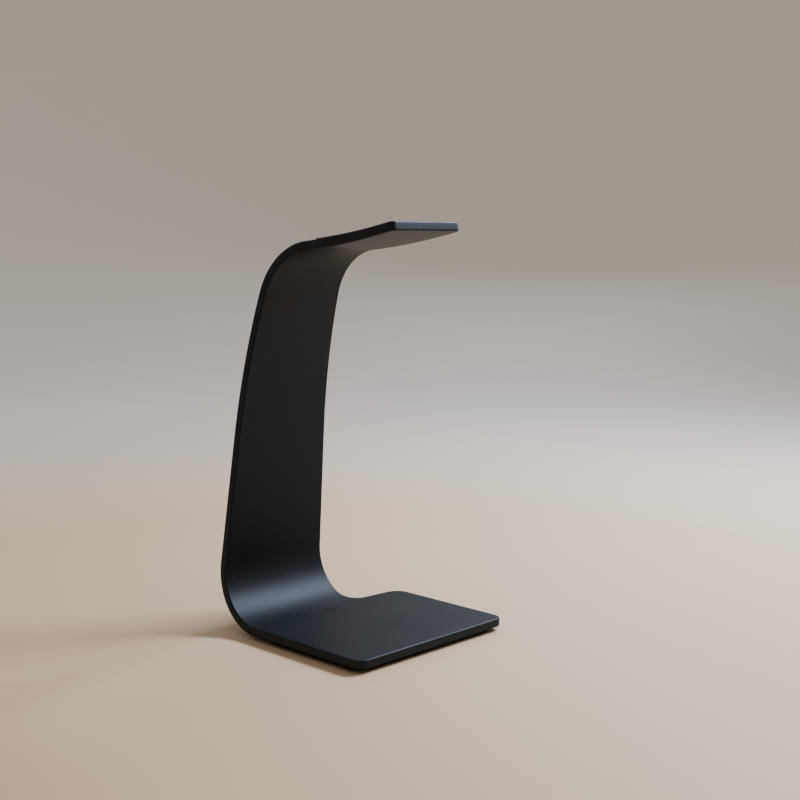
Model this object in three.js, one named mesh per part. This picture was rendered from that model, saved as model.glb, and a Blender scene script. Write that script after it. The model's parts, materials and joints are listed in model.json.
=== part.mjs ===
// Headphone stand: one blank of steel plate, edges rounded, bent twice into a C,
// with a soft pad glued along the arm and an anti-slip pad glued under the base.
// Units are millimetres and degrees. +Z is up, +X is right, and the front faces -Y.
// The origin is under the middle of the stand's outer box.

import * as THREE from 'three';

// ---------- Driving dimensions ----------

// Plate
const PLATE_THICKNESS = 5.2;
const EDGE_RADIUS = 0.9;

// Base, the flat wide end of the blank
const BASE_WIDTH = 122;
const BASE_DEPTH = 90.8;
const BASE_FLAT_LENGTH = 90;
const BASE_CORNER_RADIUS = 7;

// Shoulder, where the right side steps in from the base to the upright
const SHOULDER_SLOPE = 4;
const SHOULDER_OUTER_RADIUS = 10;
const SHOULDER_INNER_RADIUS = 14;

// Upright and its two bends, radii on the inner face. Its upper part curves gently forward.
const FOOT_WIDTH = 82;
const LOWER_BEND_RADIUS = 29;
const FORWARD_LEAN = 7;
const UPRIGHT_STRAIGHT_LENGTH = 77;
const UPRIGHT_CURVE_LENGTH = 88;
const UPRIGHT_CURVE_RADIUS = 450;
const UPPER_BEND_RADIUS = 39;

// Arm, which rises and curls up slightly towards its free end
const ARM_WIDTH = 54;
const ARM_LENGTH = 69;
const ARM_START_TILT = 5;
const ARM_CURL_RADIUS = 520;
const ARM_CORNER_RADIUS = 3.5;

// Base pad
const BASE_PAD_THICKNESS = 2.4;
const BASE_PAD_INSET = 4;
const BASE_PAD_CORNER_RADIUS = 10;
const BASE_PAD_EDGE_RADIUS = 0.3;

// Cradle pad
const CRADLE_PAD_THICKNESS = 1;
const CRADLE_PAD_INSET = 6;
const CRADLE_PAD_CORNER_RADIUS = 4;
const CRADLE_PAD_EDGE_RADIUS = 0.4;

// Adhesive films under both pads
const FILM_THICKNESS = 0.2;
const FILM_INSET = 1;
const FILM_EDGE_RADIUS = 0.05;

// Clearance that curved neighbours keep, so that their facets never cross
const CURVED_CLEARANCE = 0.03;

// Facets
const BEND_STEP = 4.5;
const CURVE_STEP = 1;
const FILLET_STEPS = 6;
const EDGE_STEPS = 2;

const radians = THREE.MathUtils.degToRad;

// ---------- The bent path ----------

// The inner face of the plate, seen from the side, as stretches of constant curvature.
// A positive turn closes the C. The arm's small negative turn is its upward curl.
const uprightTurn = UPRIGHT_CURVE_LENGTH / UPRIGHT_CURVE_RADIUS;
const lowerTurn = radians(90 + FORWARD_LEAN);
const upperTurn = radians(90 - FORWARD_LEAN - ARM_START_TILT) - uprightTurn;
const pathStretches = [
  stretch(BASE_FLAT_LENGTH, 0, BEND_STEP),
  stretch(LOWER_BEND_RADIUS * lowerTurn, lowerTurn, BEND_STEP),
  stretch(UPRIGHT_STRAIGHT_LENGTH, 0, BEND_STEP),
  stretch(UPRIGHT_CURVE_LENGTH, uprightTurn, CURVE_STEP),
  stretch(UPPER_BEND_RADIUS * upperTurn, upperTurn, BEND_STEP),
  stretch(ARM_LENGTH, -ARM_LENGTH / ARM_CURL_RADIUS, CURVE_STEP),
];

// One stretch: its length along the face, its turn in radians, and a facet for each
// `facetStep` degrees of turn.
function stretch(length, turn, facetStep) {
  const steps = Math.max(1, Math.ceil(Math.abs(turn) / radians(facetStep)));
  return { length, turn, steps };
}

// Distances along the blank at which the stretches start; the last entry is its end.
const pathStarts = [0];
for (const { length } of pathStretches) {
  pathStarts.push(pathStarts.at(-1) + length);
}
const LOWER_BEND_START = pathStarts[1];
const ARM_START = pathStarts.at(-2);
const ARM_END = pathStarts.at(-1);

// Every distance at which a facet of the bent path begins or ends.
const pathStations = [0];
pathStretches.forEach(({ length, steps }, index) => {
  for (let step = 1; step <= steps; step += 1) {
    pathStations.push(pathStarts[index] + (length * step) / steps);
  }
});

// Where the bent blank carries the point that lies `across` from the left edge,
// `along` from the front edge, and `depth` below the blank's inner face.
function bentPoint(across, along, depth) {
  let y = 0;
  let z = 0;
  let heading = 0;
  for (let index = 0; index < pathStretches.length; index += 1) {
    const { length, turn } = pathStretches[index];
    const isLast = index === pathStretches.length - 1;
    const share = isLast ? along / length : Math.min(along / length, 1);
    const run = length * share;
    const sweep = turn * share;
    const chord = Math.abs(sweep) < 1e-9 ? run : (run * Math.sin(sweep / 2)) / (sweep / 2);
    y += chord * Math.cos(heading + sweep / 2);
    z += chord * Math.sin(heading + sweep / 2);
    heading += sweep;
    along -= run;
    if (along <= 0) break;
  }
  return new THREE.Vector3(across, y + depth * Math.sin(heading), z - depth * Math.cos(heading));
}

// ---------- Outlines on the flat blank ----------

// A run of straight lines through `corners`, each { x, s, radius }, with its corners
// rounded as true arcs. x is across the blank and s is along it.
function roundedRun(corners) {
  const points = [];
  corners.forEach((corner, index) => {
    const before = corners[index - 1];
    const after = corners[index + 1];
    const here = new THREE.Vector2(corner.x, corner.s);
    if (!before || !after || !corner.radius) {
      points.push(here);
      return;
    }
    const arriving = here.clone().sub(new THREE.Vector2(before.x, before.s)).normalize();
    const leaving = new THREE.Vector2(after.x, after.s).sub(here).normalize();
    const turn = Math.atan2(arriving.cross(leaving), arriving.dot(leaving));
    const tangent = corner.radius * Math.tan(Math.abs(turn) / 2);
    const side = new THREE.Vector2(-arriving.y, arriving.x).multiplyScalar(Math.sign(turn));
    const start = here.clone().addScaledVector(arriving, -tangent);
    const centre = start.clone().addScaledVector(side, corner.radius);
    for (let step = 0; step <= FILLET_STEPS; step += 1) {
      points.push(start.clone().rotateAround(centre, (turn * step) / FILLET_STEPS));
    }
  });
  return points;
}

// Both sides of a piece that is symmetric between `low` and `high` across the blank.
// It runs from `start` to `end` along it and has one corner radius.
function roundedStrip(low, high, start, end, radius) {
  const middle = (low + high) / 2;
  const sideAt = (x) => roundedRun([
    { x: middle, s: start },
    { x, s: start, radius },
    { x, s: end, radius },
    { x: middle, s: end },
  ]).slice(1, -1);
  return { left: sideAt(low), right: sideAt(high) };
}

// The point of a side at distance `along`, between its two neighbouring points.
function pointAt(side, along) {
  const next = side.findIndex((point) => point.y >= along - 1e-7);
  if (next <= 0) return side.at(next).clone();
  const share = (along - side[next - 1].y) / (side[next].y - side[next - 1].y);
  return side[next - 1].clone().lerp(side[next], share);
}

// Both sides of an outline, resampled at the same distances along the blank.
function matchedSides({ left, right }) {
  const start = left[0].y;
  const end = left.at(-1).y;
  const wanted = [...left.map((p) => p.y), ...right.map((p) => p.y), ...pathStations]
    .filter((s) => s >= start - 1e-7 && s <= end + 1e-7)
    .sort((a, b) => a - b)
    .filter((s, index, all) => index === 0 || s - all[index - 1] > 1e-4);
  return {
    left: wanted.map((s) => pointAt(left, s)),
    right: wanted.map((s) => pointAt(right, s)),
  };
}

// A closed loop moved inwards by `distance`, square to its edges.
function insetLoop(loop, distance) {
  return loop.map((point, index) => {
    const before = loop.at(index - 1);
    const after = loop[(index + 1) % loop.length];
    const arriving = point.clone().sub(before).normalize();
    const leaving = after.clone().sub(point).normalize();
    const normal = new THREE.Vector2(arriving.y + leaving.y, -arriving.x - leaving.x).normalize();
    const sine = normal.x * arriving.y - normal.y * arriving.x;
    return point.clone().addScaledVector(normal, distance / sine);
  });
}

// ---------- Solids ----------

// A sheet cut to `outline`, with rounded edges, bent along the path.
// It lies between two depths below the blank's inner face.
function bentSheet(outline, depthFrom, depthTo, edgeRadius) {
  const { left, right } = matchedSides(outline);
  const loop = [...left, ...right.toReversed()];
  const rings = [];
  for (const face of [0, 1]) {
    for (let step = 0; step <= EDGE_STEPS; step += 1) {
      const angle = (Math.PI / 2) * ((face ? EDGE_STEPS - step : step) / EDGE_STEPS);
      const inset = edgeRadius * (1 - Math.sin(angle));
      const rise = edgeRadius * (1 - Math.cos(angle));
      rings.push({ inset, depth: face ? depthTo - rise : depthFrom + rise });
    }
  }
  const positions = [];
  for (const { inset, depth } of rings) {
    for (const point of insetLoop(loop, inset)) {
      positions.push(...bentPoint(point.x, point.y, depth).toArray());
    }
  }
  const faces = [];
  const size = loop.length;
  const quad = (a, b, c, d) => faces.push(a, b, c, a, c, d);
  for (let ring = 0; ring + 1 < rings.length; ring += 1) {
    for (let index = 0; index < size; index += 1) {
      const next = (index + 1) % size;
      const base = ring * size;
      quad(base + index, base + next, base + size + next, base + size + index);
    }
  }
  const top = (rings.length - 1) * size;
  for (let index = 0; index + 1 < left.length; index += 1) {
    const across = size - 1 - index;
    quad(index, across, across - 1, index + 1);
    quad(top + index, top + index + 1, top + across - 1, top + across);
  }
  const geometry = new THREE.BufferGeometry();
  geometry.setAttribute('position', new THREE.Float32BufferAttribute(positions, 3));
  geometry.setIndex(faces);
  geometry.computeVertexNormals();
  return geometry;
}

// ---------- The pieces ----------

const ARM_LEFT = (FOOT_WIDTH - ARM_WIDTH) / 2;
const ARM_RIGHT = ARM_LEFT + ARM_WIDTH;

// The blank: a straight left side, and a right side that steps in behind the base.
function framePlate() {
  const shoulderRun = BASE_WIDTH - FOOT_WIDTH;
  const left = roundedRun([
    { x: BASE_WIDTH / 2, s: 0 },
    { x: 0, s: 0, radius: BASE_CORNER_RADIUS },
    { x: 0, s: LOWER_BEND_START },
    { x: ARM_LEFT, s: ARM_START },
    { x: ARM_LEFT, s: ARM_END, radius: ARM_CORNER_RADIUS },
    { x: FOOT_WIDTH / 2, s: ARM_END },
  ]).slice(1, -1);
  const shoulder = {
    x: FOOT_WIDTH,
    s: BASE_DEPTH + shoulderRun * Math.tan(radians(SHOULDER_SLOPE)),
    radius: SHOULDER_INNER_RADIUS,
  };
  const right = roundedRun([
    { x: BASE_WIDTH / 2, s: 0 },
    { x: BASE_WIDTH, s: 0, radius: BASE_CORNER_RADIUS },
    { x: BASE_WIDTH, s: BASE_DEPTH, radius: SHOULDER_OUTER_RADIUS },
    shoulder,
    { x: ARM_RIGHT, s: ARM_START },
    { x: ARM_RIGHT, s: ARM_END, radius: ARM_CORNER_RADIUS },
    { x: FOOT_WIDTH / 2, s: ARM_END },
  ]).slice(1, -1);
  return bentSheet({ left, right }, 0, PLATE_THICKNESS, EDGE_RADIUS);
}

// A flat layer under the base. Its top is `below` the plate's underside.
function baseLayer(inset, cornerRadius, below, thickness, edgeRadius) {
  const outline = roundedStrip(
    inset,
    BASE_WIDTH - inset,
    inset,
    BASE_FLAT_LENGTH - inset,
    cornerRadius,
  );
  const depth = PLATE_THICKNESS + below;
  return bentSheet(outline, depth, depth + thickness, edgeRadius);
}

// A layer that follows the arm's upper face. Its underside is `above` that face.
function armLayer(inset, cornerRadius, above, thickness, edgeRadius) {
  const outline = roundedStrip(
    ARM_LEFT + inset,
    ARM_RIGHT - inset,
    ARM_START,
    ARM_END - inset,
    cornerRadius,
  );
  const depth = PLATE_THICKNESS + above;
  return bentSheet(outline, depth, depth + thickness, edgeRadius);
}

const coatedSteel = new THREE.MeshStandardMaterial({ color: 0x26282c, roughness: 0.5, metalness: 0.35 });
const basePadRubber = new THREE.MeshStandardMaterial({ color: 0x0d0d0e, roughness: 0.9, metalness: 0 });
const cradleSilicone = new THREE.MeshStandardMaterial({ color: 0x17181a, roughness: 0.75, metalness: 0 });
const adhesiveFilm = new THREE.MeshStandardMaterial({ color: 0xb9b5a8, roughness: 0.4, metalness: 0 });

function piece(name, geometry, material) {
  const mesh = new THREE.Mesh(geometry, material);
  mesh.name = name;
  return mesh;
}

const stand = new THREE.Group();
stand.add(piece('frame_plate', framePlate(), coatedSteel));

stand.add(piece(
  'base_pad_adhesive',
  baseLayer(
    BASE_PAD_INSET + FILM_INSET,
    BASE_PAD_CORNER_RADIUS - FILM_INSET,
    0,
    FILM_THICKNESS,
    FILM_EDGE_RADIUS,
  ),
  adhesiveFilm,
));
stand.add(piece(
  'base_pad',
  baseLayer(
    BASE_PAD_INSET,
    BASE_PAD_CORNER_RADIUS,
    FILM_THICKNESS,
    BASE_PAD_THICKNESS,
    BASE_PAD_EDGE_RADIUS,
  ),
  basePadRubber,
));

stand.add(piece(
  'cradle_pad_adhesive',
  armLayer(
    CRADLE_PAD_INSET + FILM_INSET,
    CRADLE_PAD_CORNER_RADIUS - FILM_INSET,
    CURVED_CLEARANCE,
    FILM_THICKNESS,
    FILM_EDGE_RADIUS,
  ),
  adhesiveFilm,
));
stand.add(piece(
  'cradle_pad',
  armLayer(
    CRADLE_PAD_INSET,
    CRADLE_PAD_CORNER_RADIUS,
    FILM_THICKNESS + 2 * CURVED_CLEARANCE,
    CRADLE_PAD_THICKNESS,
    CRADLE_PAD_EDGE_RADIUS,
  ),
  cradleSilicone,
));

// The origin goes under the middle of the outer box.
const box = new THREE.Box3().setFromObject(stand);
const middle = box.getCenter(new THREE.Vector3());
stand.position.set(-middle.x, -middle.y, -box.min.z);

export default stand;
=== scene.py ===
import json

import bpy
import numpy as np
from bpy.props import FloatProperty, FloatVectorProperty, IntProperty, PointerProperty
from mathutils import Matrix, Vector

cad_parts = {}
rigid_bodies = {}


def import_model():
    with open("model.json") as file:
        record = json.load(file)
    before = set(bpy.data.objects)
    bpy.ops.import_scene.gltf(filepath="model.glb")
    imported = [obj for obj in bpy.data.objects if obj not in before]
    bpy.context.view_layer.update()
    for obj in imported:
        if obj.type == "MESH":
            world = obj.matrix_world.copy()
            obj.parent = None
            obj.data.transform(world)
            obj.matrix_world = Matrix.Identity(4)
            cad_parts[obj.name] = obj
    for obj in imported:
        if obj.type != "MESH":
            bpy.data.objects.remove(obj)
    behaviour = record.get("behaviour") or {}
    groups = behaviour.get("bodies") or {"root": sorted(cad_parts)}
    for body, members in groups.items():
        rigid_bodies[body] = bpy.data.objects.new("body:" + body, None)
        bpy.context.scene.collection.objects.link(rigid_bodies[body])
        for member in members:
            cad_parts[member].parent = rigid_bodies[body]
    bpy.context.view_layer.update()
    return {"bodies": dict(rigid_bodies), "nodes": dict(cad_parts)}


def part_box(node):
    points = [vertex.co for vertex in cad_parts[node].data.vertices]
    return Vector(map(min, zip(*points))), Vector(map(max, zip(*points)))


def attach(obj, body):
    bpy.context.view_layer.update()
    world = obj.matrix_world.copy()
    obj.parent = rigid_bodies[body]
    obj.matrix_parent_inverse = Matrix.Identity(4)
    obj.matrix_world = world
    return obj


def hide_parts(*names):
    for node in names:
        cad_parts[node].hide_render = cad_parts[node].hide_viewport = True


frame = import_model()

bl_info = {
    "name": "Bent plate headphone stand",
    "version": (1, 0, 0),
    "blender": (4, 5, 0),
    "location": "3D View > Sidebar > Stand",
    "description": "Builds the finish of a headphone stand bent from one coated steel plate",
    "category": "Object",
}

MM = 0.001
BODY = next(iter(frame["bodies"]))
PLATE_LOW, PLATE_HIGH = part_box("frame_plate")
ARM_PAD_LOW, ARM_PAD_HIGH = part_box("cradle_pad")
BASE_PAD_LOW, BASE_PAD_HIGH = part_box("base_pad")
ROW_DIGITS = 7  # decimals of a metre to which the rows of a mesh are rounded
ROW_MERGE = 0.02 * MM  # rows closer than this become one
RIM_WEAR = 0.5  # wear where an edge's rounding meets a face, when the edge itself has 1
WEAR_FADE = 1.2 * MM  # distance in which that wear fades across a face
NOISE_MIDDLE = (0.25, 0.75)  # the middle half of a noise's range, which holds nearly all of it
MIX_COLOURS = slice(6, 8)  # a mix node's two colour inputs
MIX_RESULT = 2  # its colour output


# ---------- Sizes and colours that a user would change ----------


class StandPlateSettings(bpy.types.PropertyGroup):
    """The plate: how it is cut and bent, and its coat."""

    thickness: FloatProperty(
        name="Thickness", description="Thickness of the steel plate", default=5.2 * MM, unit="LENGTH"
    )
    edge_radius: FloatProperty(
        name="Edge radius", description="Rounding along every cut edge", default=0.9 * MM, unit="LENGTH"
    )
    base_depth: FloatProperty(
        name="Base depth",
        description="Front edge to the step behind the base",
        default=90.8 * MM,
        unit="LENGTH",
    )
    base_flat_length: FloatProperty(
        name="Base flat length", description="Front edge to the lower bend", default=90 * MM, unit="LENGTH"
    )
    base_corner_radius: FloatProperty(
        name="Base corner radius",
        description="Rounding of the front corners",
        default=7 * MM,
        unit="LENGTH",
    )
    shoulder_slope: FloatProperty(
        name="Shoulder slope",
        description="Slant of the step behind the base",
        default=np.radians(4),
        unit="ROTATION",
    )
    shoulder_outer_radius: FloatProperty(
        name="Shoulder outer radius",
        description="Rounding of the base's rear corner",
        default=10 * MM,
        unit="LENGTH",
    )
    shoulder_inner_radius: FloatProperty(
        name="Shoulder inner radius",
        description="Fillet between base and upright",
        default=14 * MM,
        unit="LENGTH",
    )
    foot_width: FloatProperty(
        name="Foot width",
        description="Width of the blank where the upright starts",
        default=82 * MM,
        unit="LENGTH",
    )
    lower_bend_radius: FloatProperty(
        name="Lower bend radius",
        description="Inner radius of the lower bend",
        default=29 * MM,
        unit="LENGTH",
    )
    lean: FloatProperty(
        name="Lean", description="Forward lean of the upright", default=np.radians(7), unit="ROTATION"
    )
    straight_length: FloatProperty(
        name="Straight length",
        description="Straight lower part of the upright",
        default=77 * MM,
        unit="LENGTH",
    )
    curve_length: FloatProperty(
        name="Curve length",
        description="Gently curved upper part of the upright",
        default=88 * MM,
        unit="LENGTH",
    )
    curve_radius: FloatProperty(
        name="Curve radius",
        description="Inner radius of the upright's upper part",
        default=450 * MM,
        unit="LENGTH",
    )
    upper_bend_radius: FloatProperty(
        name="Upper bend radius",
        description="Inner radius of the upper bend",
        default=39 * MM,
        unit="LENGTH",
    )
    arm_width: FloatProperty(
        name="Arm width", description="Width of the arm", default=54 * MM, unit="LENGTH"
    )
    arm_length: FloatProperty(
        name="Arm length",
        description="Length of the arm past the upper bend",
        default=69 * MM,
        unit="LENGTH",
    )
    arm_tilt: FloatProperty(
        name="Arm tilt",
        description="Rise of the arm where it starts",
        default=np.radians(5),
        unit="ROTATION",
    )
    arm_curl_radius: FloatProperty(
        name="Arm curl radius",
        description="Radius of the arm's upward curl",
        default=520 * MM,
        unit="LENGTH",
    )
    arm_corner_radius: FloatProperty(
        name="Arm corner radius",
        description="Rounding of the arm's corners",
        default=3.5 * MM,
        unit="LENGTH",
    )
    colour: FloatVectorProperty(
        name="Coat colour",
        description="Colour of the powder coat",
        default=(0.0045, 0.0076, 0.0107),
        subtype="COLOR",
        min=0,
        max=1,
    )
    roughness: FloatProperty(
        name="Coat roughness",
        description="Roughness of the powder coat",
        default=0.5,
        min=0,
        max=1,
        subtype="FACTOR",
    )


class StandPadSettings(bpy.types.PropertyGroup):
    """The two pads and the films that hold them."""

    film_thickness: FloatProperty(
        name="Film thickness",
        description="Thickness of the adhesive films",
        default=0.2 * MM,
        unit="LENGTH",
    )
    bond_gap: FloatProperty(
        name="Bond gap", description="Gap at each bonded face on the arm", default=0.03 * MM, unit="LENGTH"
    )
    arm_pad_thickness: FloatProperty(
        name="Cradle pad thickness",
        description="Thickness of the cradle pad",
        default=1 * MM,
        unit="LENGTH",
    )
    arm_pad_corner: FloatProperty(
        name="Cradle pad corner",
        description="Corner radius of the cradle pad",
        default=4 * MM,
        unit="LENGTH",
    )
    arm_pad_edge: FloatProperty(
        name="Cradle pad edge",
        description="Edge rounding of the cradle pad",
        default=0.45 * MM,
        unit="LENGTH",
    )
    base_pad_corner: FloatProperty(
        name="Base pad corner", description="Corner radius of the base pad", default=10 * MM, unit="LENGTH"
    )
    base_pad_edge: FloatProperty(
        name="Base pad edge", description="Edge rounding of the base pad", default=0.3 * MM, unit="LENGTH"
    )
    silicone_colour: FloatVectorProperty(
        name="Silicone colour",
        description="Colour of the cradle pad",
        default=(0.014, 0.0145, 0.0155),
        subtype="COLOR",
        min=0,
        max=1,
    )
    rubber_colour: FloatVectorProperty(
        name="Rubber colour",
        description="Colour of the base pad",
        default=(0.006, 0.006, 0.0065),
        subtype="COLOR",
        min=0,
        max=1,
    )
    film_colour: FloatVectorProperty(
        name="Film colour",
        description="Colour of the adhesive films",
        default=(0.38, 0.36, 0.3),
        subtype="COLOR",
        min=0,
        max=1,
    )


class StandStageSettings(bpy.types.PropertyGroup):
    """The studio: floor, lights and camera."""

    floor_colour: FloatVectorProperty(
        name="Floor colour",
        description="Colour of the floor",
        default=(0.73, 0.54, 0.36),
        subtype="COLOR",
        min=0,
        max=1,
    )
    wall_colour: FloatVectorProperty(
        name="Wall colour",
        description="Colour that the floor fades to and the wall keeps",
        default=(0.9, 0.82, 0.74),
        subtype="COLOR",
        min=0,
        max=1,
    )
    floor_radius: FloatProperty(
        name="Floor radius", description="Radius of the flat floor", default=1.1, unit="LENGTH"
    )
    wall_height: FloatProperty(
        name="Wall height", description="Height of the wall round the floor", default=3.0, unit="LENGTH"
    )
    light_target: FloatVectorProperty(
        name="Light target",
        description="Point that both lights face",
        default=(0.0, 0.0, 0.1),
        subtype="TRANSLATION",
        unit="LENGTH",
    )
    key_place: FloatVectorProperty(
        name="Key place",
        description="Where the side light hangs",
        default=(0.691, -0.193, 0.723),
        subtype="TRANSLATION",
        unit="LENGTH",
    )
    key_size: FloatVectorProperty(
        name="Key size",
        description="Length and width of the side light",
        default=(0.6, 0.2),
        size=2,
        unit="LENGTH",
    )
    key_along: FloatVectorProperty(
        name="Key direction",
        description="Direction that the side light's longer side follows",
        default=(0.0, -0.93, -0.37),
        subtype="DIRECTION",
    )
    key_power: FloatProperty(
        name="Key power", description="Power of the side light", default=13.5, unit="POWER"
    )
    rim_place: FloatVectorProperty(
        name="Rim place",
        description="Where the light behind hangs",
        default=(1.559, 1.028, 0.817),
        subtype="TRANSLATION",
        unit="LENGTH",
    )
    rim_size: FloatVectorProperty(
        name="Rim size",
        description="Length and width of the light behind",
        default=(0.5, 0.5),
        size=2,
        unit="LENGTH",
    )
    rim_power: FloatProperty(
        name="Rim power", description="Power of the light behind", default=2.1, unit="POWER"
    )
    window_colour: FloatVectorProperty(
        name="Window colour",
        description="Colour of both lights",
        default=(0.7, 0.8, 1.0),
        subtype="COLOR",
        min=0,
        max=1,
    )
    room_colour: FloatVectorProperty(
        name="Room colour",
        description="Colour of the room's own light",
        default=(0.97, 0.96, 0.95),
        subtype="COLOR",
        min=0,
        max=1,
    )
    room_level: FloatProperty(
        name="Room level", description="Strength of the room's own light", default=0.43, min=0
    )
    camera_place: FloatVectorProperty(
        name="Camera place",
        description="Where the camera stands",
        default=(-0.5335, -0.5500, 0.2334),
        subtype="TRANSLATION",
        unit="LENGTH",
    )
    camera_heading: FloatProperty(
        name="Camera heading",
        description="Turn of the view from +Y towards +X",
        default=np.radians(45.60),
        unit="ROTATION",
    )
    camera_dip: FloatProperty(
        name="Camera dip",
        description="Angle of the view below the horizon",
        default=np.radians(6.89),
        unit="ROTATION",
    )
    lens: FloatProperty(name="Lens", description="Focal length", default=58.65, unit="CAMERA")
    sensor_width: FloatProperty(
        name="Sensor width", description="Width of the camera's sensor", default=36.0, unit="CAMERA"
    )


class StandFinenessSettings(bpy.types.PropertyGroup):
    """How fine the meshes are."""

    row_step: FloatProperty(
        name="Row step", description="Distance between rows along the plate", default=2 * MM, unit="LENGTH"
    )
    columns: IntProperty(name="Columns", description="Faces across the plate", default=28, min=4)
    edge_steps: IntProperty(
        name="Edge steps", description="Faces round each edge's quarter", default=7, min=2
    )
    fillet_steps: IntProperty(name="Fillet steps", description="Faces round each corner", default=16, min=4)
    room_segments: IntProperty(
        name="Room segments", description="Faces round the studio", default=96, min=8
    )
    room_rings: IntProperty(
        name="Room rings", description="Rings on the studio's floor, and on its wall", default=24, min=4
    )


# ---------- Shapes ----------


def plate_path(plate):
    """The plate's inner face seen from the side, as (length, turn) stretches of constant curvature."""
    lower_turn = np.pi / 2 + plate.lean
    upright_turn = plate.curve_length / plate.curve_radius
    upper_turn = np.pi / 2 - plate.lean - upright_turn - plate.arm_tilt
    return np.array([
        (plate.base_flat_length, 0.0),
        (plate.lower_bend_radius * lower_turn, lower_turn),
        (plate.straight_length, 0.0),
        (plate.curve_length, upright_turn),
        (plate.upper_bend_radius * upper_turn, upper_turn),
        (plate.arm_length, -plate.arm_length / plate.arm_curl_radius),
    ])


def path_starts(plate):
    """Distances along the blank at which the stretches of the path start, and its end."""
    return np.concatenate([[0.0], np.cumsum(plate_path(plate)[:, 0])])


def bent(plate, across, along, depth):
    """Carries points of the flat blank onto the bent plate.

    A stretch of constant curvature k carries a run r to a chord of length r sin(kr/2) / (kr/2) at half of
    its turn kr. The point then lies `depth` from the inner face, square to the path's heading there.
    """
    path = plate_path(plate)
    starts = path_starts(plate)
    y = np.zeros_like(along)
    z = np.zeros_like(along)
    heading = np.zeros_like(along)
    for index, (length, turn) in enumerate(path):
        low = -np.inf if index == 0 else 0.0
        high = np.inf if index == len(path) - 1 else length
        run = np.clip(along - starts[index], low, high)
        half = turn * run / length / 2
        chord = run * np.sinc(half / np.pi)
        y = y + chord * np.cos(heading + half)
        z = z + chord * np.sin(heading + half)
        heading = heading + 2 * half
    front = PLATE_HIGH[1] - plate.thickness - plate.lower_bend_radius - plate.base_flat_length
    top = PLATE_LOW[2] + plate.thickness
    return np.stack([
        PLATE_LOW[0] + across,
        front + y + depth * np.sin(heading),
        top + z - depth * np.cos(heading),
    ], axis=-1)


def rounded_side(corners, steps):
    """One side of an outline: straight lines through (x, s, radius) corners, rounded by true arcs.

    Each arc touches both lines at radius * tan(turn / 2) from the corner, and its points are the touching
    point turned about the arc's centre. The first and last corners only give a direction.
    """
    corners = np.array(corners, float)
    points = []
    for before, corner, after in zip(corners[:-2], corners[1:-1], corners[2:]):
        here, radius = corner[:2], corner[2]
        arriving = (here - before[:2]) / np.linalg.norm(here - before[:2])
        leaving = (after[:2] - here) / np.linalg.norm(after[:2] - here)
        turn = np.arctan2(arriving[0] * leaving[1] - arriving[1] * leaving[0], arriving @ leaving)
        if radius == 0:
            points.append(here[None])
            continue
        start = here - arriving * radius * np.tan(abs(turn) / 2)
        normal = np.array([-arriving[1], arriving[0]]) * np.sign(turn)
        swept = np.linspace(0, abs(turn), steps + 1)[:, None]
        points.append(start + radius * (arriving * np.sin(swept) + normal * (1 - np.cos(swept))))
    return np.concatenate(points)


def eased_shares(count):
    """Shares from 0 to 1 in `count` steps, shorter near both ends: (1 - cos(pi t)) / 2 for even t."""
    return (1 - np.cos(np.linspace(0, np.pi, count + 1))) / 2


def strip_outline(low, high, start, end, radius, steps):
    """Both sides of a rounded rectangle on the blank."""
    middle = (low + high) / 2
    return [
        rounded_side([(middle, start, 0), (x, start, radius), (x, end, radius), (middle, end, 0)], steps)
        for x in (low, high)
    ]


def matched_rows(sides, stations):
    """Both sides of an outline, read off at the same distances along the blank."""
    start, end = sides[0][0, 1], sides[0][-1, 1]
    wanted = np.concatenate([sides[0][:, 1], sides[1][:, 1], stations])
    wanted = np.unique(np.round(wanted[(wanted >= start) & (wanted <= end)], ROW_DIGITS))
    wanted = wanted[np.concatenate([[True], np.diff(wanted) > ROW_MERGE])]
    wanted[-1] = end
    return [np.stack([np.interp(wanted, side[:, 1], side[:, 0]), wanted], axis=1) for side in sides]


def outline_loop(left, right, shares):
    """The closed loop round matched sides, with the two straight ends divided at the given shares."""
    inner = shares[1:-1, None]
    far_end = left[-1] + inner * (right[-1] - left[-1])
    near_end = right[0] + inner * (left[0] - right[0])
    return np.concatenate([left, far_end, right[::-1], near_end])


def inset_vectors(loop):
    """For each point of a loop, the step that moves both its edges inwards by one unit: their mitre."""
    arriving = loop - np.roll(loop, 1, axis=0)
    leaving = np.roll(arriving, -1, axis=0)
    arriving /= np.linalg.norm(arriving, axis=1, keepdims=True)
    leaving /= np.linalg.norm(leaving, axis=1, keepdims=True)
    first = np.stack([arriving[:, 1], -arriving[:, 0]], axis=1)
    second = np.stack([leaving[:, 1], -leaving[:, 0]], axis=1)
    both = first + second
    return both / np.sum(both * first, axis=1, keepdims=True)


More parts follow.
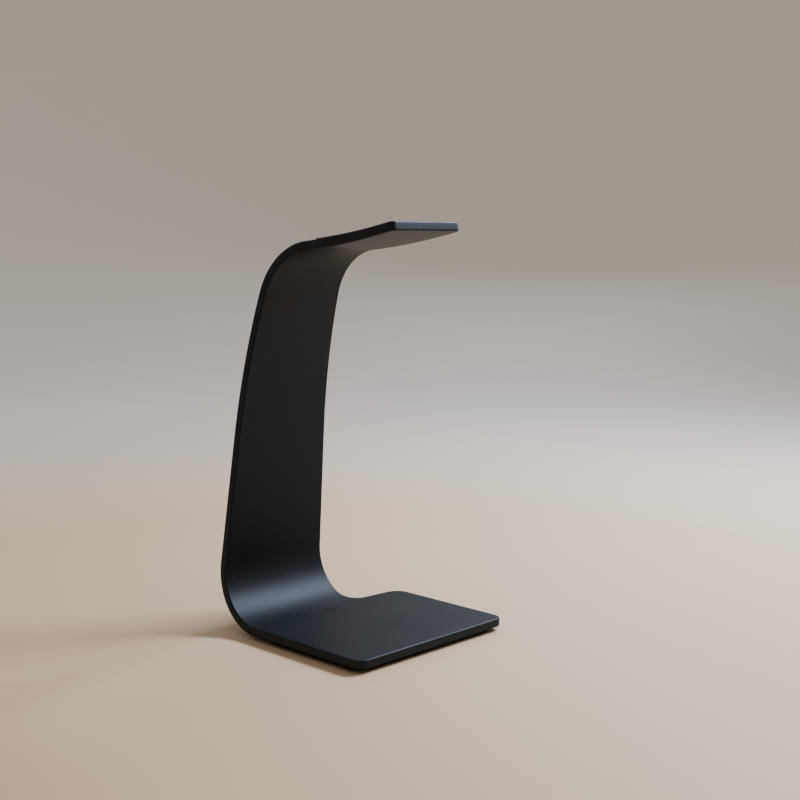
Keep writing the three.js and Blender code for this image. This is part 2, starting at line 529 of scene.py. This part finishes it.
def bent_sheet(name, sides, shallow, deep, edge_radius):
    """A sheet cut to an outline, rounded along its edges and bent along the plate's path.

    The surface has two parameters. One runs round the outline. The other, the angle a, runs round the
    sheet's edge: from each face the loop lies r (1 - sin a) inside the outline and r (1 - cos a) below that
    face. Inside the first and last loops, each face is ruled straight across from side to side. The wear
    rises evenly with a from RIM_WEAR to 1, and on a face it is RIM_WEAR exp(-distance / WEAR_FADE).
    """
    plate = bpy.context.scene.stand_plate
    fine = bpy.context.scene.stand_fineness
    end = path_starts(plate)[-1]
    stations = np.linspace(0, end, int(np.ceil(end / fine.row_step)) + 1)
    left, right = matched_rows(sides, stations)
    shares = eased_shares(fine.columns)
    loop = outline_loop(left, right, shares)
    inward = inset_vectors(loop)
    rows, size = len(left), len(loop)

    angle = np.pi / 2 * eased_shares(fine.edge_steps)
    inset = edge_radius * (1 - np.sin(angle))
    fall = edge_radius * (1 - np.cos(angle))
    insets = np.concatenate([inset, inset[::-1]])
    depths = np.concatenate([shallow + fall, deep - fall[::-1]])
    rings = loop[None] + insets[:, None, None] * inward[None]
    ring_depths = np.repeat(depths[:, None], size, axis=1)

    face_loop = rings[0]
    face_left = face_loop[:rows]
    face_right = face_loop[rows + fine.columns - 1:][:rows][::-1]
    share = shares[None, 1:-1, None]
    inner = face_left[1:-1, None] + share * (face_right[1:-1, None] - face_left[1:-1, None])
    flat = np.concatenate([rings.reshape(-1, 2), inner.reshape(-1, 2), inner.reshape(-1, 2)])
    depth = np.concatenate([
        ring_depths.ravel(),
        np.full(inner.size // 2, shallow),
        np.full(inner.size // 2, deep),
    ])
    points = bent(plate, flat[:, 0], flat[:, 1], depth)

    ring_count = len(insets)
    here = np.arange(size)
    after = (here + 1) % size
    band = size * np.arange(ring_count - 1)[:, None]
    walls = np.stack([band + here, band + after, band + size + after, band + size + here], axis=-1)

    def face_quads(first_ring, first_inner, flip):
        """The quads of one face: its loop's points round the rim of a grid, and its inner points within."""
        grid = np.zeros((rows, fine.columns + 1), int)
        grid[:, 0] = np.arange(rows)
        grid[-1, 1:-1] = rows + np.arange(fine.columns - 1)
        grid[:, -1] = rows + fine.columns - 1 + np.arange(rows)[::-1]
        grid[0, 1:-1] = 2 * rows + fine.columns - 1 + np.arange(fine.columns - 1)[::-1]
        grid += first_ring
        grid[1:-1, 1:-1] = first_inner + np.arange(inner.size // 2).reshape(rows - 2, -1)
        quads = np.stack([grid[:-1, :-1], grid[:-1, 1:], grid[1:, 1:], grid[1:, :-1]], axis=-1)
        return quads[..., ::-1] if flip else quads

    first_inner = ring_count * size
    upper = face_quads(0, first_inner, False)
    lower = face_quads((ring_count - 1) * size, first_inner + inner.size // 2, True)
    faces = np.concatenate([walls.reshape(-1, 4), upper.reshape(-1, 4), lower.reshape(-1, 4)])

    edge_wear = RIM_WEAR + (1 - RIM_WEAR) * angle / (np.pi / 2)
    from_left = inner[..., 0] - face_left[1:-1, None, 0]
    from_right = face_right[1:-1, None, 0] - inner[..., 0]
    from_front = inner[..., 1] - face_loop[:, 1].min()
    from_end = face_loop[:, 1].max() - inner[..., 1]
    nearest = np.minimum(np.minimum(from_left, from_right), np.minimum(from_front, from_end))
    face_wear = RIM_WEAR * np.exp(-nearest / WEAR_FADE).ravel()
    ring_wear = np.repeat(np.concatenate([edge_wear, edge_wear[::-1]]), size)
    return make_piece(name, points, faces, np.concatenate([ring_wear, face_wear, face_wear]))


def make_piece(name, points, faces, wear):
    """A smooth mesh object at the origin. `wear` says how exposed each point is to rubbing, from 0 to 1."""
    mesh = bpy.data.meshes.new(name)
    mesh.from_pydata(points.tolist(), [], faces.tolist())
    mesh.attributes.new("edge_rub", "FLOAT", "POINT").data.foreach_set("value", wear.astype(np.float32))
    mesh.polygons.foreach_set("use_smooth", np.ones(len(faces), bool))
    mesh.update()
    piece = bpy.data.objects.new(name, mesh)
    bpy.context.collection.objects.link(piece)
    return piece


def plate_outline(plate, fine):
    """The blank's sides: a straight left one, and a right one that steps in behind the base."""
    base_width = PLATE_HIGH[0] - PLATE_LOW[0]
    starts = path_starts(plate)
    arm_left = (plate.foot_width - plate.arm_width) / 2
    arm_right = arm_left + plate.arm_width
    shoulder = plate.base_depth + (base_width - plate.foot_width) * np.tan(plate.shoulder_slope)
    middle = plate.foot_width / 2
    left = rounded_side([
        (base_width / 2, 0, 0),
        (0, 0, plate.base_corner_radius),
        (0, starts[1], 0),
        (arm_left, starts[-2], 0),
        (arm_left, starts[-1], plate.arm_corner_radius),
        (middle, starts[-1], 0),
    ], fine.fillet_steps)
    right = rounded_side([
        (base_width / 2, 0, 0),
        (base_width, 0, plate.base_corner_radius),
        (base_width, plate.base_depth, plate.shoulder_outer_radius),
        (plate.foot_width, shoulder, plate.shoulder_inner_radius),
        (arm_right, starts[-2], 0),
        (arm_right, starts[-1], plate.arm_corner_radius),
        (middle, starts[-1], 0),
    ], fine.fillet_steps)
    return [left, right]


# ---------- Shared effects ----------


def effect_group(name, inputs, outputs):
    """A new shader node group whose sockets are numbers: inputs by name and default, outputs by name."""
    group = bpy.data.node_groups.new(name, "ShaderNodeTree")
    for label, default in inputs.items():
        socket = group.interface.new_socket(label, in_out="INPUT", socket_type="NodeSocketFloat")
        socket.default_value = default
    for label in outputs:
        group.interface.new_socket(label, in_out="OUTPUT", socket_type="NodeSocketFloat")
    return group, group.nodes.new("NodeGroupInput"), group.nodes.new("NodeGroupOutput")


def add_node(tree, kind, links=(), **settings):
    """A node with its properties set, and its inputs linked or filled by (socket, source or value)."""
    node = tree.nodes.new(kind)
    for key, value in settings.items():
        setattr(node, key, value)
    for socket, source in links:
        if isinstance(source, bpy.types.NodeSocket):
            tree.links.new(source, node.inputs[socket])
        else:
            node.inputs[socket].default_value = source
    return node


def math_node(tree, operation, *values):
    """The result socket of a math node on sockets or numbers."""
    return add_node(tree, "ShaderNodeMath", list(enumerate(values)), operation=operation).outputs[0]


def noise_node(tree, scale, detail, roughness=0.5):
    """The value of a noise in the piece's own coordinates."""
    place = add_node(tree, "ShaderNodeTexCoord").outputs["Object"]
    return add_node(tree, "ShaderNodeTexNoise", [
        ("Vector", place), ("Scale", scale), ("Detail", detail), ("Roughness", roughness)]).outputs["Fac"]


def range_node(tree, value, low, high, bottom=0.0, top=1.0):
    """Maps the range from low to high onto the range from bottom to top, with the ends held."""
    return add_node(tree, "ShaderNodeMapRange", [
        ("Value", value), ("From Min", low), ("From Max", high), ("To Min", bottom), ("To Max", top),
    ]).outputs["Result"]


def grain_group():
    """Fine grain: a coarse soft noise and a fine one, mixed into one height, and a slow tone change."""
    group, given, result = effect_group(
        "Surface grain",
        {"Coarse scale": 900.0, "Fine scale": 3000.0, "Fine share": 0.35, "Tone scale": 14.0},
        ["Height", "Tone"],
    )
    coarse = noise_node(group, given.outputs["Coarse scale"], detail=2.0, roughness=0.45)
    fine = noise_node(group, given.outputs["Fine scale"], detail=1.0)
    tone = noise_node(group, given.outputs["Tone scale"], detail=3.0, roughness=0.55)
    height = add_node(group, "ShaderNodeMix", [
        ("Factor", given.outputs["Fine share"]), ("A", coarse), ("B", fine)]).outputs["Result"]
    group.links.new(height, result.inputs["Height"])
    group.links.new(tone, result.inputs["Tone"])
    return group


def dust_group():
    """Settled dust: faces that look up, broken by a fine and a broad noise, as a mask from 0 to Amount."""
    group, given, result = effect_group(
        "Settled dust",
        {"Amount": 0.1, "Fleck scale": 700.0, "Drift scale": 28.0},
        ["Mask"],
    )
    normal = add_node(group, "ShaderNodeNewGeometry").outputs["Normal"]
    facing = add_node(group, "ShaderNodeSeparateXYZ", [("Vector", normal)]).outputs["Z"]
    upward = range_node(group, facing, 0.6, 1.0)
    fleck = range_node(group, noise_node(group, given.outputs["Fleck scale"], detail=2.0), 0.5, 0.72)
    drift = noise_node(group, given.outputs["Drift scale"], detail=2.0)
    mask = math_node(group, "MULTIPLY", upward, math_node(group, "MULTIPLY", fleck, drift))
    mask = math_node(group, "MULTIPLY", mask, given.outputs["Amount"])
    group.links.new(mask, result.inputs["Mask"])
    return group


def rub_group():
    """Rubbed edges: the piece's own edge_rub attribute, raised to a power and broken by a noise."""
    group, given, result = effect_group(
        "Rubbed edges",
        {"Amount": 0.5, "Sharpness": 2.0, "Break scale": 160.0},
        ["Mask"],
    )
    rub = add_node(group, "ShaderNodeAttribute", attribute_name="edge_rub").outputs["Fac"]
    edge = math_node(group, "POWER", rub, given.outputs["Sharpness"])
    broken = range_node(group, noise_node(group, given.outputs["Break scale"], detail=3.0), 0.3, 0.7)
    mask = math_node(group, "MULTIPLY", math_node(group, "MULTIPLY", edge, broken), given.outputs["Amount"])
    group.links.new(mask, result.inputs["Mask"])
    return group


EFFECTS = {"Surface grain": grain_group, "Settled dust": dust_group, "Rubbed edges": rub_group}


def effect(tree, name, **values):
    """Places a shared effect in a material, making its group the first time. Values are named inputs."""
    group = bpy.data.node_groups.get(name) or EFFECTS[name]()
    node = tree.nodes.new("ShaderNodeGroup")
    node.node_tree = group
    for key, value in values.items():
        node.inputs[key.replace("_", " ").capitalize()].default_value = value
    return node


# ---------- Materials ----------


def new_material(name):
    """A material with its Principled BSDF, ready for more nodes."""
    material = bpy.data.materials.new(name)
    material.use_nodes = True
    return material, material.node_tree, material.node_tree.nodes["Principled BSDF"]


def blend_colour(tree, factor, first, second):
    """Mixes two colours, given as sockets or RGB, by a factor socket."""
    node = add_node(tree, "ShaderNodeMix", [("Factor", factor)], data_type="RGBA")
    for socket, colour in zip(node.inputs[MIX_COLOURS], (first, second)):
        if isinstance(colour, bpy.types.NodeSocket):
            tree.links.new(colour, socket)
        else:
            socket.default_value = (*colour, 1.0)
    return node.outputs[MIX_RESULT]


def slow_change(tree, grain, low, high):
    """A number that the grain's tone moves slowly between low and high."""
    return range_node(tree, grain.outputs["Tone"], *NOISE_MIDDLE, low, high)


def slow_shades(tree, grain, colour, darkest, lightest):
    """A colour that the grain's tone moves slowly between two shares of it."""
    return blend_colour(tree, slow_change(tree, grain, 0.0, 1.0), colour * darkest, colour * lightest)


def link_surface(tree, shader, colour, roughness, grain, depth, strength):
    """Gives the shader its colour and roughness, and a bump that is `depth` deep over the grain's range."""
    tree.links.new(colour, shader.inputs["Base Color"])
    tree.links.new(roughness, shader.inputs["Roughness"])
    bump = add_node(tree, "ShaderNodeBump", [
        ("Height", grain.outputs["Height"]), ("Distance", depth), ("Strength", strength)])
    tree.links.new(bump.outputs["Normal"], shader.inputs["Normal"])


def coated_steel(plate):
    """Satin powder coat: faint orange peel, slow tone and gloss changes, rubbed edges and a little dust."""
    material, tree, shader = new_material("Satin powder coat")
    colour = np.array(plate.colour)
    rubbed_colour = colour * 2.2
    dust_colour = (0.32, 0.3, 0.28)
    roughness_change = 0.05
    rub_smooths = 0.12
    dust_roughens = 2.0
    grain = effect(
        tree, "Surface grain", coarse_scale=650.0, fine_scale=2400.0, fine_share=0.35, tone_scale=16.0
    )
    rub = effect(tree, "Rubbed edges", amount=0.55, sharpness=2.5, break_scale=140.0).outputs["Mask"]
    dust = effect(tree, "Settled dust", amount=0.05, fleck_scale=900.0).outputs["Mask"]
    base = slow_shades(tree, grain, colour, darkest=0.88, lightest=1.14)
    base = blend_colour(tree, rub, base, rubbed_colour)
    base = blend_colour(tree, dust, base, dust_colour)
    smoothest = plate.roughness - roughness_change
    roughness = slow_change(tree, grain, smoothest, plate.roughness + roughness_change)
    roughness = math_node(tree, "SUBTRACT", roughness, math_node(tree, "MULTIPLY", rub, rub_smooths))
    roughness = math_node(tree, "ADD", roughness, math_node(tree, "MULTIPLY", dust, dust_roughens))
    link_surface(tree, shader, base, roughness, grain, depth=0.08 * MM, strength=0.7)
    shader.inputs["IOR"].default_value = 1.42
    return material


def cradle_silicone(pads):
    """Matte silicone: a fine moulded grain, a soft sheen and settled dust."""
    material, tree, shader = new_material("Matte silicone")
    colour = np.array(pads.silicone_colour)
    rubbed_colour = colour * 1.6
    dust_colour = (0.34, 0.32, 0.3)
    grain = effect(
        tree, "Surface grain", coarse_scale=1700.0, fine_scale=5200.0, fine_share=0.4, tone_scale=24.0
    )
    rub = effect(tree, "Rubbed edges", amount=0.25, sharpness=1.5, break_scale=90.0).outputs["Mask"]
    dust = effect(tree, "Settled dust", amount=0.12, fleck_scale=1100.0).outputs["Mask"]
    base = slow_shades(tree, grain, colour, darkest=0.85, lightest=1.2)
    base = blend_colour(tree, rub, base, rubbed_colour)
    base = blend_colour(tree, dust, base, dust_colour)
    roughness = slow_change(tree, grain, 0.58, 0.68)
    link_surface(tree, shader, base, roughness, grain, depth=0.04 * MM, strength=0.5)
    shader.inputs["Sheen Weight"].default_value = 0.15
    shader.inputs["Sheen Roughness"].default_value = 0.5
    shader.inputs["IOR"].default_value = 1.43
    return material


def base_rubber(pads):
    """Anti-slip rubber: closed cells too small to see one by one, dull and nearly black."""
    material, tree, shader = new_material("Anti-slip rubber")
    colour = np.array(pads.rubber_colour)
    grain = effect(
        tree, "Surface grain", coarse_scale=1400.0, fine_scale=3600.0, fine_share=0.5, tone_scale=30.0
    )
    base = slow_shades(tree, grain, colour, darkest=0.8, lightest=1.4)
    roughness = slow_change(tree, grain, 0.82, 0.92)
    link_surface(tree, shader, base, roughness, grain, depth=0.06 * MM, strength=0.8)
    shader.inputs["IOR"].default_value = 1.5
    return material


def adhesive_film(pads):
    """Double-sided tape: a cloudy film with fine ripples."""
    material, tree, shader = new_material("Adhesive film")
    colour = np.array(pads.film_colour)
    grain = effect(
        tree, "Surface grain", coarse_scale=400.0, fine_scale=1800.0, fine_share=0.3, tone_scale=60.0
    )
    base = slow_shades(tree, grain, colour, darkest=0.9, lightest=1.08)
    roughness = slow_change(tree, grain, 0.35, 0.5)
    link_surface(tree, shader, base, roughness, grain, depth=0.02 * MM, strength=0.5)
    return material


def studio_floor(stage):
    """Plain pale matte floor, which fades to the wall's colour from a third of its radius to its rim."""
    material, tree, shader = new_material("Pale floor")
    colour = np.array(stage.floor_colour)
    grain = effect(
        tree, "Surface grain", coarse_scale=90.0, fine_scale=400.0, fine_share=0.4, tone_scale=1.5
    )
    floor = slow_shades(tree, grain, colour, darkest=0.985, lightest=1.015)
    place = add_node(tree, "ShaderNodeTexCoord").outputs["Object"]
    distance = add_node(tree, "ShaderNodeVectorMath", [(0, place)], operation="LENGTH").outputs["Value"]
    wall = range_node(tree, distance, stage.floor_radius / 3, stage.floor_radius)
    tree.links.new(blend_colour(tree, wall, floor, stage.wall_colour), shader.inputs["Base Color"])
    shader.inputs["Roughness"].default_value = 0.62
    return material


# ---------- Operators ----------


def finish_piece(piece, material, node):
    """Gives a new piece its material, attaches it to the body and hides the CAD node that it replaces."""
    piece.data.materials.append(material)
    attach(piece, BODY)
    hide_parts(node)


class STAND_OT_plate(bpy.types.Operator):
    """Make the bent steel plate"""

    bl_idname = "stand.plate"
    bl_label = "Bent plate"

    def execute(self, context):
        plate = context.scene.stand_plate
        sides = plate_outline(plate, context.scene.stand_fineness)
        piece = bent_sheet("bent_plate", sides, 0.0, plate.thickness, plate.edge_radius)
        finish_piece(piece, coated_steel(plate), "frame_plate")
        return {"FINISHED"}


class STAND_OT_cradle_pad(bpy.types.Operator):
    """Make the silicone pad on top of the arm"""

    bl_idname = "stand.cradle_pad"
    bl_label = "Cradle pad"

    def execute(self, context):
        plate = context.scene.stand_plate
        pads = context.scene.stand_pads
        fine = context.scene.stand_fineness
        low = ARM_PAD_LOW[0] - PLATE_LOW[0]
        high = ARM_PAD_HIGH[0] - PLATE_LOW[0]
        starts = path_starts(plate)
        inset = low - (plate.foot_width - plate.arm_width) / 2
        end = starts[-1] - inset
        sides = strip_outline(low, high, starts[-2], end, pads.arm_pad_corner, fine.fillet_steps)
        under = plate.thickness + pads.film_thickness + 2 * pads.bond_gap
        over = under + pads.arm_pad_thickness
        piece = bent_sheet("cradle_pad_skin", sides, under, over, pads.arm_pad_edge)
        finish_piece(piece, cradle_silicone(pads), "cradle_pad")
        return {"FINISHED"}


class STAND_OT_base_pad(bpy.types.Operator):
    """Make the anti-slip pad under the base"""

    bl_idname = "stand.base_pad"
    bl_label = "Base pad"

    def execute(self, context):
        plate = context.scene.stand_plate
        pads = context.scene.stand_pads
        fine = context.scene.stand_fineness
        low = BASE_PAD_LOW[0] - PLATE_LOW[0]
        high = BASE_PAD_HIGH[0] - PLATE_LOW[0]
        end = plate.base_flat_length - low
        sides = strip_outline(low, high, low, end, pads.base_pad_corner, fine.fillet_steps)
        under = plate.thickness + pads.film_thickness
        thickness = BASE_PAD_HIGH[2] - BASE_PAD_LOW[2]
        piece = bent_sheet("base_pad_skin", sides, under, under + thickness, pads.base_pad_edge)
        finish_piece(piece, base_rubber(pads), "base_pad")
        return {"FINISHED"}


class STAND_OT_adhesive_films(bpy.types.Operator):
    """Finish the two adhesive films, which keep their CAD shape"""

    bl_idname = "stand.adhesive_films"
    bl_label = "Adhesive films"

    def execute(self, context):
        material = adhesive_film(context.scene.stand_pads)
        for name in ("base_pad_adhesive", "cradle_pad_adhesive"):
            film = frame["nodes"][name]
            film.data.materials.clear()
            film.data.materials.append(material)
        return {"FINISHED"}


def studio_room(stage, fine):
    """The floor and the wall round it as one surface of revolution.

    Its profile is a flat disc, then a quarter circle as high as the wall. The floor lies at z = 0.
    """
    innermost = 0.02 * stage.floor_radius
    turn = np.linspace(0, 2 * np.pi, fine.room_segments + 1)[:-1]
    flat = np.linspace(innermost, stage.floor_radius, fine.room_rings)
    sweep = np.linspace(0, np.pi / 2, fine.room_rings + 1)[1:]
    radius = np.concatenate([flat, stage.floor_radius + stage.wall_height * np.sin(sweep)])
    height = np.concatenate([np.zeros(len(flat)), stage.wall_height * (1 - np.cos(sweep))])
    rings = np.stack([
        radius[:, None] * np.cos(turn),
        radius[:, None] * np.sin(turn),
        np.repeat(height[:, None], len(turn), axis=1),
    ], axis=-1)
    count = len(turn)
    here = np.arange(count)
    after = (here + 1) % count
    band = count * np.arange(len(radius) - 1)[:, None]
    quads = np.stack([band + here, band + count + here, band + count + after, band + after], axis=-1)
    points = np.concatenate([rings.reshape(-1, 3), [[0.0, 0.0, 0.0]]])
    centre = np.full(count, len(points) - 1)
    mesh = bpy.data.meshes.new("studio_floor")
    hub = np.stack([centre, here, after], axis=-1)
    mesh.from_pydata(points.tolist(), [], quads.reshape(-1, 4).tolist() + hub.tolist())
    mesh.polygons.foreach_set("use_smooth", np.ones(len(mesh.polygons), bool))
    room = bpy.data.objects.new("studio_floor", mesh)
    bpy.context.collection.objects.link(room)
    mesh.materials.append(studio_floor(stage))


def soft_light(name, place, target, along, size, power, colour):
    """A rectangular area light that faces a target, its length turned as near as it goes to `along`."""
    data = bpy.data.lights.new(name, "AREA")
    data.shape = "RECTANGLE"
    data.size, data.size_y = size
    data.energy = power
    data.color = colour
    light = bpy.data.objects.new(name, data)
    bpy.context.collection.objects.link(light)
    light.location = place
    back = np.array(place) - np.array(target)
    back /= np.linalg.norm(back)
    upward = np.cross(back, along)
    upward /= np.linalg.norm(upward)
    turned = np.stack([np.cross(upward, back), upward, back], axis=1)
    light.rotation_euler = Matrix(turned.tolist()).to_euler()
    light.visible_camera = False


def studio_lights(stage):
    """The side light, the light behind, whose length lies across the view, and the room's own even light."""
    heading = stage.camera_heading
    aside = np.array([np.cos(heading), -np.sin(heading), 0.0])
    target, colour = stage.light_target, stage.window_colour
    soft_light("key", stage.key_place, target, stage.key_along, stage.key_size, stage.key_power, colour)
    soft_light("rim", stage.rim_place, target, aside, stage.rim_size, stage.rim_power, colour)
    world = bpy.data.worlds.new("Room")
    world.use_nodes = True
    background = world.node_tree.nodes["Background"]
    background.inputs["Color"].default_value = (*stage.room_colour, 1.0)
    background.inputs["Strength"].default_value = stage.room_level
    bpy.context.scene.world = world


def view_camera(stage):
    """The camera, turned from +Y towards +X by its heading and tipped down by its dip."""
    data = bpy.data.cameras.new("view")
    data.lens = stage.lens
    data.sensor_width = stage.sensor_width
    camera = bpy.data.objects.new("view", data)
    bpy.context.collection.objects.link(camera)
    camera.location = stage.camera_place
    camera.rotation_euler = (np.pi / 2 - stage.camera_dip, 0.0, -stage.camera_heading)
    bpy.context.scene.camera = camera


class STAND_OT_stage(bpy.types.Operator):
    """Make the floor, the lights and the camera"""

    bl_idname = "stand.stage"
    bl_label = "Stage"

    def execute(self, context):
        stage = context.scene.stand_stage
        studio_room(stage, context.scene.stand_fineness)
        studio_lights(stage)
        view_camera(stage)
        context.scene.view_settings.look = "AgX - Medium High Contrast"
        return {"FINISHED"}


class STAND_PT_sidebar(bpy.types.Panel):
    """The stand's steps and sizes"""

    bl_label = "Headphone stand"
    bl_idname = "STAND_PT_sidebar"
    bl_space_type = "VIEW_3D"
    bl_region_type = "UI"
    bl_category = "Stand"

    def draw(self, context):
        for step in STEPS:
            self.layout.operator(step.bl_idname)
        for name, settings in SETTINGS.items():
            box = self.layout.box()
            for key in settings.__annotations__:
                box.prop(getattr(context.scene, name), key)


STEPS = (
    STAND_OT_stage,
    STAND_OT_plate,
    STAND_OT_cradle_pad,
    STAND_OT_base_pad,
    STAND_OT_adhesive_films,
)
SETTINGS = {
    "stand_plate": StandPlateSettings,
    "stand_pads": StandPadSettings,
    "stand_stage": StandStageSettings,
    "stand_fineness": StandFinenessSettings,
}


def register():
    for name, group in SETTINGS.items():
        bpy.utils.register_class(group)
        setattr(bpy.types.Scene, name, PointerProperty(type=group))
    for cls in (*STEPS, STAND_PT_sidebar):
        bpy.utils.register_class(cls)


def unregister():
    for cls in (STAND_PT_sidebar, *reversed(STEPS)):
        bpy.utils.unregister_class(cls)
    for name, group in reversed(SETTINGS.items()):
        delattr(bpy.types.Scene, name)
        bpy.utils.unregister_class(group)


def main():
    register()
    bpy.ops.stand.stage()
    bpy.ops.stand.plate()
    bpy.ops.stand.cradle_pad()
    bpy.ops.stand.base_pad()
    bpy.ops.stand.adhesive_films()


if __name__ == "__main__":
    main()
